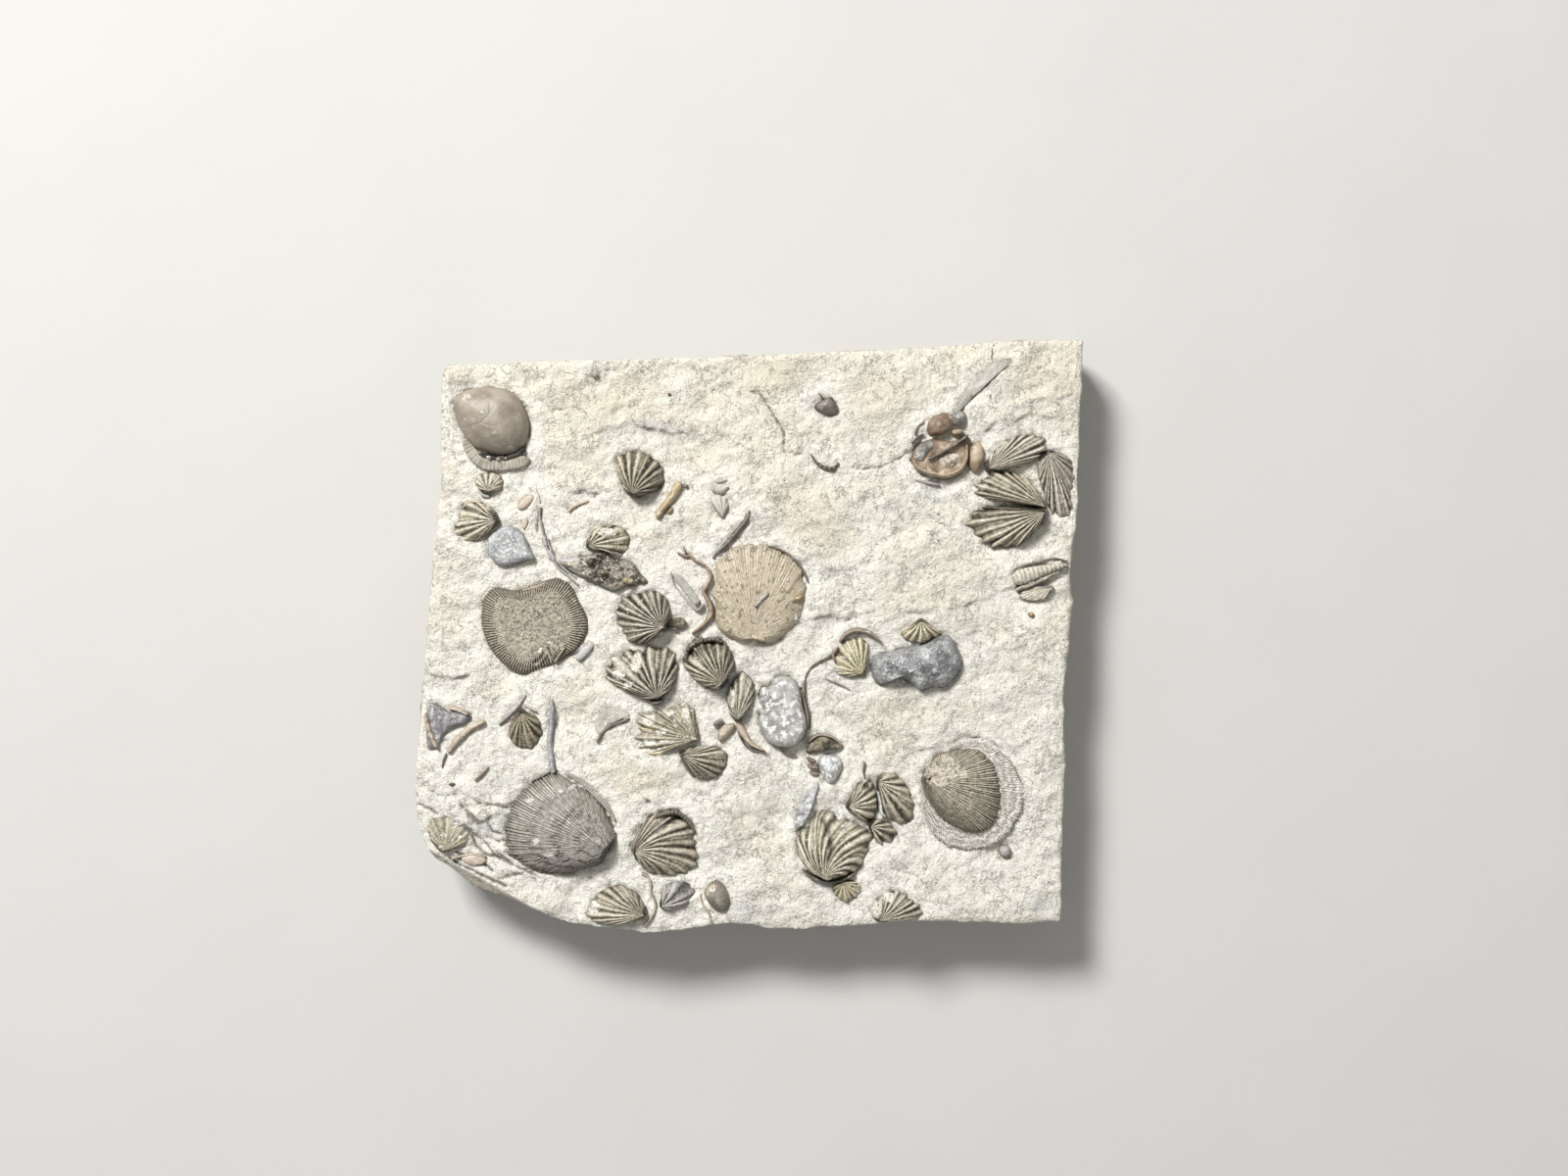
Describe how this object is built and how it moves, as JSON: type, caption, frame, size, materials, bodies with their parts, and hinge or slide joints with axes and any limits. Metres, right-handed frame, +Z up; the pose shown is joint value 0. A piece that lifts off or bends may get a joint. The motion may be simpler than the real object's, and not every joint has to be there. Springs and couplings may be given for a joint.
{
  "type": "fossil slab with brachiopods",
  "caption": "Loose slab of pale shelly limestone lying fossil face up, with ribbed and smooth brachiopods, bryozoan lumps and small shell and stem fragments standing out of its top face.",
  "frame": {"origin": "middle of the slab's flat underside", "axes": "+X to the slab's right edge and +Y to its top edge as it is looked at, +Z up out of the fossil face"},
  "size_m": [0.1159, 0.1026, 0.0204],
  "materials": {
    "limestone_stone": "matt, broken and weathered stone",
    "tan_fossil": "matt, slightly waxy fossil shell",
    "olive_fossil": "matt, slightly waxy fossil shell",
    "dark_brown_fossil": "matt, slightly waxy fossil shell",
    "gold_fossil": "matt, slightly waxy fossil shell",
    "grey_fossil": "matt, slightly waxy fossil shell",
    "warm_grey_fossil": "matt, slightly waxy fossil shell",
    "blue_grey_fossil": "matt, slightly waxy fossil shell",
    "near_black_fossil": "matt, slightly waxy fossil shell",
    "dark_olive_fossil": "matt, slightly waxy fossil shell",
    "violet_grey_fossil": "matt, slightly waxy fossil shell",
    "pale_grey_fossil": "matt, slightly waxy fossil shell",
    "cream_fossil": "matt, slightly waxy fossil shell",
    "ochre_fossil": "matt, slightly waxy fossil shell"
  },
  "bodies": {
    "root": {"matrix_slab": "limestone_stone", "small_fan_shell_nw": "tan_fossil", "ribbed_shell_w": "tan_fossil", "ribbed_shell_n": "olive_fossil", "crusted_ribbed_shell": "olive_fossil", "ribbed_shell_centre": "dark_brown_fossil", "splayed_ribbed_shell": "dark_brown_fossil", "crested_ribbed_shell": "dark_brown_fossil", "oval_ribbed_shell": "olive_fossil", "low_gold_shell": "gold_fossil", "domed_ribbed_shell": "olive_fossil", "small_brown_shell": "dark_brown_fossil", "cream_fan_shell": "gold_fossil", "small_cream_fan_shell": "gold_fossil", "ribbed_shell_ne": "olive_fossil", "two_lobed_shell_upper_valve": "olive_fossil", "two_lobed_shell_lower_valve": "dark_brown_fossil", "edge_ribbed_shell": "dark_brown_fossil", "faint_ribbed_shell_sw": "tan_fossil", "ribbed_shell_s": "olive_fossil", "gold_ribbed_shell_at_edge": "gold_fossil", "small_grey_ribbed_shell": "grey_fossil", "paired_shell_left_valve": "olive_fossil", "paired_shell_right_valve": "olive_fossil", "zigzag_shell_piece": "dark_brown_fossil", "big_gold_shell": "gold_fossil", "small_gold_shell": "gold_fossil", "bottom_edge_shell": "gold_fossil", "smooth_shell_upper_valve": "warm_grey_fossil", "speckled_nodule": "blue_grey_fossil", "dark_mineral_fragment": "near_black_fossil", "dark_disc_valve": "dark_olive_fossil", "edge_fragment": "violet_grey_fossil", "bean_nodule": "pale_grey_fossil", "bryozoan_lump": "blue_grey_fossil", "brown_cap": "dark_brown_fossil", "crystal_nodule": "pale_grey_fossil", "cream_disc": "cream_fossil", "dark_chip": "dark_brown_fossil", "brown_oval": "warm_grey_fossil", "sectioned_shell": "tan_fossil", "left_atrypid": "warm_grey_fossil", "small_smooth_shell": "olive_fossil", "right_atrypid": "warm_grey_fossil", "round_bead": "grey_fossil", "smooth_shell_lower_valve": "tan_fossil", "tan_leaf": "tan_fossil", "ochre_rod": "ochre_fossil", "grey_stick": "grey_fossil", "violet_chip": "violet_grey_fossil", "grey_rod": "grey_fossil", "tan_sliver": "tan_fossil", "scalloped_rim": "dark_brown_fossil", "grey_capsule": "violet_grey_fossil", "curved_horn": "ochre_fossil", "ringed_cone": "cream_fossil", "worm_tube": "grey_fossil", "right_atrypid_frill": "pale_grey_fossil", "curved_stem": "grey_fossil"}
  },
  "joints": []
}
